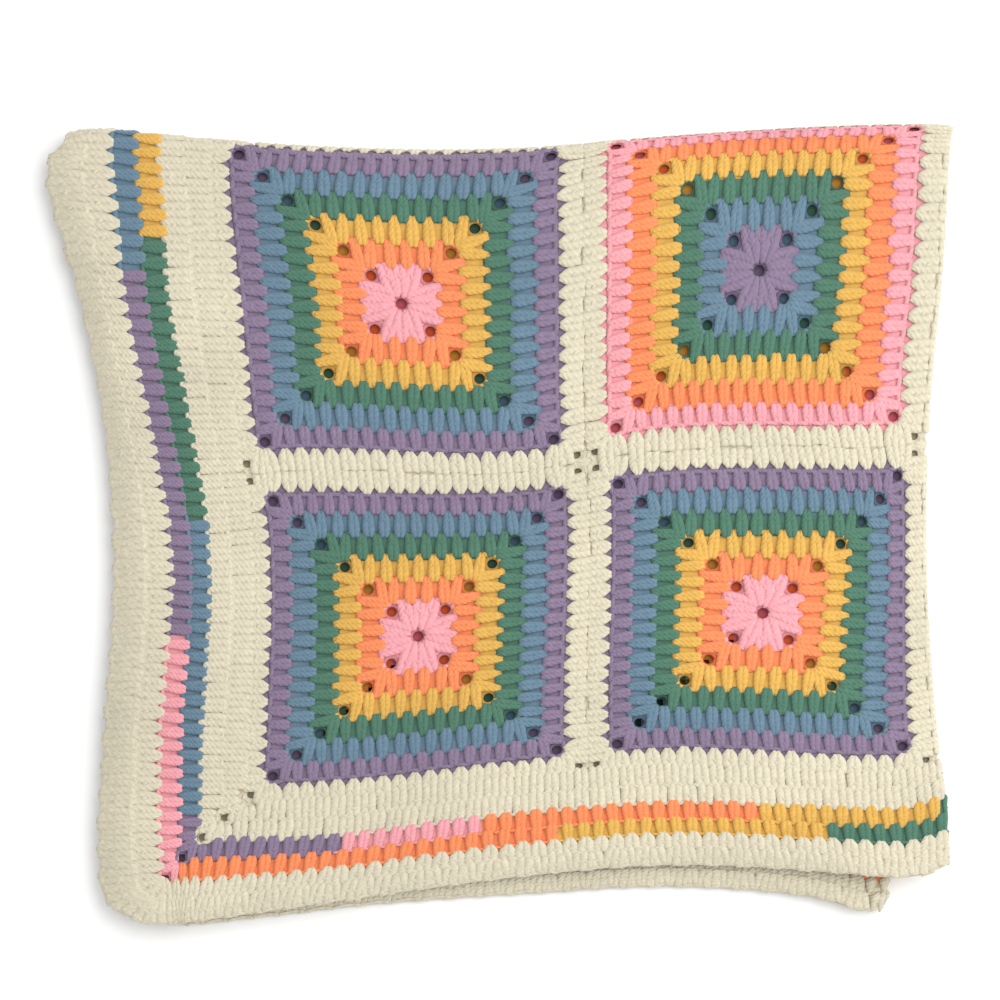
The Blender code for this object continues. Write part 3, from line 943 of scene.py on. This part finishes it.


# A top and a bottom sheet on one grid, walls along every open edge, and a colour for each face: mostly the
# yarn in painted shade, plain yarn under the first round and along the lit edge of the wrong side.
def makeGround():
    nearFold = np.linspace(-ground["foldReach"], ground["foldReach"], ground["foldLines"])
    linesP = withMore(gridLines(), fold["sideAt"] + nearFold)
    linesQ = withMore(gridLines(), fold["topAt"] + 2 * nearFold)
    p, q = np.meshgrid(linesP, linesQ, indexing="ij")
    midP, midQ = np.meshgrid((linesP[1:] + linesP[:-1]) / 2, (linesQ[1:] + linesQ[:-1]) / 2,
                             indexing="ij")
    kept = np.ones(midP.shape, bool)
    for centreP, centreQ, _ in squareCentres():
        a, b = np.abs(midP - centreP), np.abs(midQ - centreQ)
        kept &= ~((a < ground["ringHole"]) & (b < ground["ringHole"]))
        for n in range(1, squareRounds + 1):
            d = cornerOf(n)
            hidden = (midP > fold["sideAt"] + seen["pastSide"]) & (n == squareRounds)
            kept &= hidden | ~((np.abs(a - d) < spaceHalf(n)) & (np.abs(b - d) < spaceHalf(n)))
    for k in range(1, cloth["squareCornered"] + 1):
        d = borderLine(k) - cloth["holeBack"]
        kept &= ~((np.abs(np.abs(midP) - d) < ground["smallHole"])
                  & (np.abs(np.abs(midQ) - d) < ground["smallHole"]))
    # the outer corners are rounded by drawing the grid's own lines in
    start = blanketHalf - cloth["cornerRadius"]
    a, b = np.maximum(np.abs(p) - start, 0), np.maximum(np.abs(q) - start, 0)
    inCorner = (a > 0) & (b > 0)
    pull = np.maximum(a, b) / np.where(inCorner, np.hypot(a, b), 1)
    p = np.where(inCorner, np.sign(p) * (start + a * pull), p)
    q = np.where(inCorner, np.sign(q) * (start + b * pull), q)
    flat = np.stack([p.ravel(), q.ravel()], axis=1)
    count = len(flat)
    points = np.concatenate([np.column_stack([flat, np.full(count, ground[sheet])])
                             for sheet in ("top", "bottom")])
    index = np.arange(count).reshape(p.shape)
    quads = np.stack([index[:-1, :-1], index[1:, :-1], index[1:, 1:], index[:-1, 1:]], axis=-1)
    # the wrong side of the second layer takes the colour that belongs at the space above it, painted in shade
    # inside the stack away from the lit edge
    tint = groundColour(midP, midQ)
    isSecond = midP > fold["sideAt"]
    left = np.abs(midP - fold["sideAt"]) / blanketHalf
    front = np.clip((fold["topAt"] - midQ) / blanketHalf, 0, 1)
    aboveP = np.where(isSecond, 2 * fold["sideAt"] - midP + layers["second"]["sideIn"] * left ** 2, midP)
    aboveQ = np.where(isSecond, midQ + layers["second"]["frontIn"] * front ** 2, midQ)
    above = groundColour(outwards(aboveP), outwards(aboveQ))
    colours = len(colourNames)
    rim = blanketHalf - reachOf(midP, midQ) < ground["litRim"]
    rim &= np.minimum(np.abs(aboveP), np.abs(aboveQ)) < bordersFrom  # the border's corner spaces are painted in shade as well
    wrongSide = np.where(rim, tint, above + 2 * colours)
    faces = [quads[kept], quads[kept][:, ::-1] + count]
    # the right side: plain yarn under the first round, the cream next to a coloured round in deeper painted
    # shade, and elsewhere the yarn in painted shade between the posts
    offCentre = reachOf(midP - nearestCentre(midP), midQ - nearestCentre(midQ))
    isFirst = offCentre < cloth["ringRadius"] + roundWidth
    rightSide = np.select([inShade(midP, midQ), isFirst], [3 * colours, tint], tint + colours)
    tints = [rightSide[kept], wrongSide[kept]]
    padded = np.pad(kept, 1)
    inside = padded[1:-1, 1:-1]
    walls = ((padded[:-2, 1:-1], (3, 0)), (padded[2:, 1:-1], (1, 2)),
             (padded[1:-1, :-2], (0, 1)), (padded[1:-1, 2:], (2, 3)))
    for neighbour, (one, other) in walls:
        bare = inside & ~neighbour
        a, b = quads[bare][:, one], quads[bare][:, other]
        faces.append(np.stack([a, a + count, b + count, b], axis=1))
        # the walls are in the painted shade between the posts
        tints.append(tint[bare] + colours)
    faces = np.concatenate(faces)
    used, loops = np.unique(faces.ravel(), return_inverse=True)
    return addPiece("ground", laidOut(points)[used], loops, np.full(len(faces), 4),
                    [*yarns.values(), *paintedGapShadeYarns.values(), *paintedInsideShadeYarns.values(), paintedShadeCreamYarn],
                    faceMaterial=np.concatenate(tints))


groundPiece = makeGround()
print("ground", len(groundPiece.data.polygons))

for piece in [groundPiece] + pieces:
    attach(piece, "root")
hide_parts("blanket")


# Floor, light and camera, in metres.
stage = {"floorHalf": 3.0, "white": "#ffffff", "floorRoughness": 0.9, "roomLight": 0.84}


# A white floor at z = 0, and a room that is lit evenly from all round.
def makeStage():
    size = stage["floorHalf"]
    floor = addPiece("floor", [(-size, -size, 0), (size, -size, 0), (size, size, 0), (-size, size, 0)],
                     [0, 1, 2, 3], [4], [], smooth=False)
    material = bpy.data.materials.new("matt white paper")
    material.use_nodes = True
    paper = material.node_tree.nodes["Principled BSDF"].inputs
    paper["Base Color"].default_value = linear(stage["white"])
    paper["Roughness"].default_value = stage["floorRoughness"]
    floor.data.materials.append(material)
    world = bpy.data.worlds.new("pale room")
    world.use_nodes = True
    room = world.node_tree.nodes["Background"].inputs
    room["Color"].default_value = linear(stage["white"])
    room["Strength"].default_value = stage["roomLight"]
    bpy.context.scene.world = world


lights = {
    "key": {"at": (0.8, 0.15, 0.95), "size": 1.6, "power": 14.0},
    "fill": {"at": (-0.7, -0.9, 1.8), "size": 2.0, "power": 2.0},
}


# Each lamp is turned to face the middle of the floor.
def makeLights():
    for name, light in lights.items():
        data = bpy.data.lights.new(name, "AREA")
        data.size = light["size"]
        data.energy = light["power"]
        lamp = bpy.data.objects.new(name, data)
        lamp.location = light["at"]
        direction = -np.array(light["at"])
        lamp.rotation_euler = (math.acos(-direction[2] / np.linalg.norm(direction)), 0,
                               math.atan2(direction[1], direction[0]) - pi / 2)
        bpy.context.scene.collection.objects.link(lamp)


camera = {"elevation": 76.0, "distance": 1.8, "lens": 129.6, "sensor": 36}


# The camera looks down at the cloth's own middle from in front of it.
def makeCamera():
    data = bpy.data.cameras.new("camera")
    data.lens = camera["lens"]
    data.sensor_width = camera["sensor"]
    eye = bpy.data.objects.new("camera", data)
    up = math.radians(camera["elevation"])
    eye.location = (shift[0] * mm, shift[1] * mm - camera["distance"] * math.cos(up),
                    camera["distance"] * math.sin(up))
    eye.rotation_euler = (pi / 2 - up, 0, 0)
    bpy.context.scene.collection.objects.link(eye)
    bpy.context.scene.camera = eye


# A face has two triangles fewer than corners.
def triangles(piece):
    return sum(len(polygon.vertices) - 2 for polygon in piece.data.polygons)


makeStage()
makeLights()
makeCamera()
bpy.context.scene.view_settings.view_transform = "Standard"
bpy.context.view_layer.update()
counts = [triangles(piece) for piece in [groundPiece] + pieces]
print("triangles", sum(counts), "largest", max(counts))
print("done")
